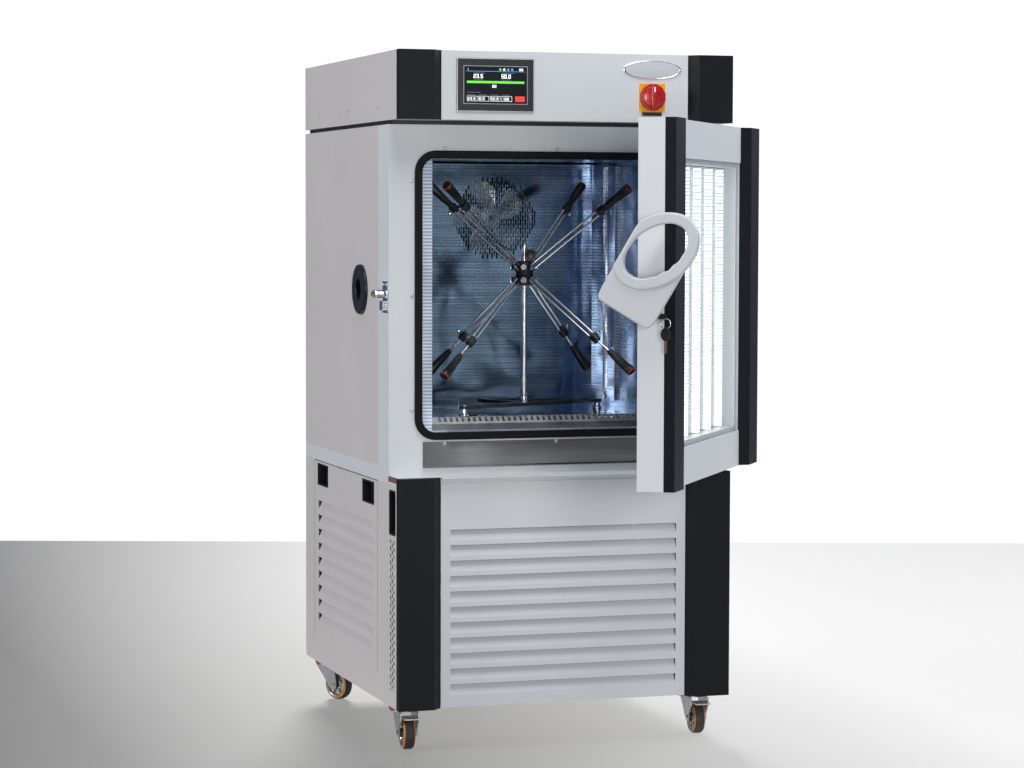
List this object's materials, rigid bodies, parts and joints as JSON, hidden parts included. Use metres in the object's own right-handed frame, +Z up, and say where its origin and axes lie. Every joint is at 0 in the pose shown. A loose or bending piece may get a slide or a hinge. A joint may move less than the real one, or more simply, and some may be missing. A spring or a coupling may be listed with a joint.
{
  "type": "environmental test chamber",
  "caption": "Floor-standing temperature and humidity test chamber with a glazed side-hinged door, control head, louvred machine base, sensor stand inside and braked castors.",
  "frame": {"origin": "on the floor, under the middle of the cabinet's footprint", "axes": "+X to the right seen from the front, +Y to the back, +Z up; the door is at -Y and stands 55 degrees open"},
  "size_m": [0.9708, 1.6937, 1.69],
  "materials": {
    "light_grey_paint": "fine-textured powder coat",
    "warm_grey_paint": "fine-textured powder coat",
    "anthracite_paint": "satin powder coat",
    "stainless": "brushed stainless, horizontal grain",
    "bright_stainless": "polished stainless",
    "galvanised": "zinc plated",
    "black_rubber": "matte silicone rubber",
    "black_plastic": "fine-grained plastic",
    "brown_spacer": "laminate",
    "foam": "rigid foam",
    "grey_plastic": "satin moulded plastic",
    "screen_glass": "display glass",
    "window_glass": "clear",
    "led": "lit LED bar",
    "yellow_plastic": "satin",
    "red_plastic": "satin",
    "copper_coil": "aluminium fins on tubes",
    "fan_metal": "polished aluminium",
    "machine_black": "semi-gloss enamel",
    "castor_tyre": "polyurethane tread",
    "key_metal": "worn plated brass and black bows"
  },
  "bodies": {
    "cabinet": {"base_frame": "light_grey_paint", "machine_deck": "light_grey_paint", "shelf_spacers": "brown_spacer", "left_service_panel": "warm_grey_paint", "right_service_panel": "warm_grey_paint", "panel_pulls": "black_plastic", "front_grille": "light_grey_paint", "corner_trims": "anthracite_paint", "rear_panel": "light_grey_paint", "chamber_front_frame": "light_grey_paint", "chamber_wrap": "warm_grey_paint", "insulation": "foam", "inner_liner": "stainless", "opening_gasket": "black_rubber", "flange_screws": "galvanised", "drip_panel": "stainless", "sill_grate": "bright_stainless", "air_baffle": "stainless", "circulation_motor": "machine_black", "heater": "galvanised", "evaporator": "copper_coil", "shelf_rails": "bright_stainless", "neck_plinth": "black_plastic", "head_casing": "warm_grey_paint", "head_front_panel": "light_grey_paint", "display_frame": "bright_stainless", "display_screen": "screen_glass", "switch_plate": "yellow_plastic", "access_port": "black_plastic", "striker": "bright_stainless", "cabinet_hinges": "anthracite_paint", "castor_plates": "galvanised", "condenser": "copper_coil", "compressor": "machine_black", "control_box": "galvanised", "sensor_stand": "bright_stainless", "sensor_arms": "bright_stainless", "sensor_probes": "black_plastic"},
    "door": {"door_hinges": "anthracite_paint", "door_shell": "light_grey_paint", "door_trims": "anthracite_paint", "door_glass": "window_glass", "led_strips": "led", "door_inner_frame": "black_rubber", "door_lock": "galvanised"},
    "door_handle": {"handle": "grey_plastic"},
    "key": {"lock_key": "key_metal"},
    "switch_knob": {"switch_knob": "red_plastic"},
    "circulation_fan": {"circulation_fan": "fan_metal"},
    "condenser_fan": {"condenser_fan": "machine_black"},
    "castor_front_left": {"castor_fork_front_left": "galvanised"},
    "wheel_front_left": {"castor_wheel_front_left": "castor_tyre"},
    "pedal_front_left": {"brake_pedal_front_left": "galvanised"},
    "castor_front_right": {"castor_fork_front_right": "galvanised"},
    "wheel_front_right": {"castor_wheel_front_right": "castor_tyre"},
    "pedal_front_right": {"brake_pedal_front_right": "galvanised"},
    "castor_rear_left": {"castor_fork_rear_left": "galvanised"},
    "wheel_rear_left": {"castor_wheel_rear_left": "castor_tyre"},
    "castor_rear_right": {"castor_fork_rear_right": "galvanised"},
    "wheel_rear_right": {"castor_wheel_rear_right": "castor_tyre"}
  },
  "joints": [
    {"name": "door_swing", "type": "hinge", "parent": "cabinet", "child": "door", "pos_m": [0.437, -0.3765, 0.75], "axis": [0, 0, 1], "range_deg": [-55, 55]},
    {"name": "handle_turn", "type": "hinge", "parent": "door", "child": "door_handle", "pos_m": [-0.01974, -1.10899, 1.107], "axis": [-0.5736, -0.8192, 0], "range_deg": [0, 30.5]},
    {"name": "key_turn", "type": "hinge", "parent": "door", "child": "key", "pos_m": [-0.02302, -1.13111, 1.075], "axis": [0.8192, -0.5736, 0], "range_deg": [-45, 0]},
    {"name": "switch_turn", "type": "hinge", "parent": "cabinet", "child": "switch_knob", "pos_m": [0.2205, -0.4625, 1.586], "axis": [0, -1, 0], "range_deg": [-90, 0]},
    {"name": "circulation_fan_spin", "type": "hinge", "parent": "cabinet", "child": "circulation_fan", "pos_m": [0.042, 0.3075, 1.291], "axis": [0, 1, 0], "continuous": true},
    {"name": "condenser_fan_spin", "type": "hinge", "parent": "cabinet", "child": "condenser_fan", "pos_m": [-0.09, -0.3225, 0.332], "axis": [0, 1, 0], "continuous": true},
    {"name": "swivel_front_left", "type": "hinge", "parent": "cabinet", "child": "castor_front_left", "pos_m": [-0.377, -0.3445, 0.09], "axis": [0, 0, 1], "continuous": true},
    {"name": "roll_front_left", "type": "hinge", "parent": "castor_front_left", "child": "wheel_front_left", "pos_m": [-0.37944, -0.37942, 0.04], "axis": [0.9976, -0.0698, 0], "continuous": true},
    {"name": "brake_front_left", "type": "hinge", "parent": "castor_front_left", "child": "pedal_front_left", "pos_m": [-0.38133, -0.40635, 0.082], "axis": [0.9976, -0.0698, 0], "range_deg": [-18, 0]},
    {"name": "swivel_front_right", "type": "hinge", "parent": "cabinet", "child": "castor_front_right", "pos_m": [0.377, -0.3445, 0.09], "axis": [0, 0, 1], "continuous": true},
    {"name": "roll_front_right", "type": "hinge", "parent": "castor_front_right", "child": "wheel_front_right", "pos_m": [0.37419, -0.37939, 0.04], "axis": [0.9968, -0.0802, 0], "continuous": true},
    {"name": "brake_front_right", "type": "hinge", "parent": "castor_front_right", "child": "pedal_front_right", "pos_m": [0.37203, -0.4063, 0.082], "axis": [0.9968, -0.0802, 0], "range_deg": [-18, 0]},
    {"name": "swivel_rear_left", "type": "hinge", "parent": "cabinet", "child": "castor_rear_left", "pos_m": [-0.377, 0.4035, 0.09], "axis": [0, 0, 1], "continuous": true},
    {"name": "roll_rear_left", "type": "hinge", "parent": "castor_rear_left", "child": "wheel_rear_left", "pos_m": [-0.35908, 0.37344, 0.04], "axis": [0.859, 0.512, 0], "continuous": true},
    {"name": "swivel_rear_right", "type": "hinge", "parent": "cabinet", "child": "castor_rear_right", "pos_m": [0.377, 0.4035, 0.09], "axis": [0, 0, 1], "continuous": true},
    {"name": "roll_rear_right", "type": "hinge", "parent": "castor_rear_right", "child": "wheel_rear_right", "pos_m": [0.38487, 0.3694, 0.04], "axis": [0.9744, 0.225, 0], "continuous": true}
  ]
}
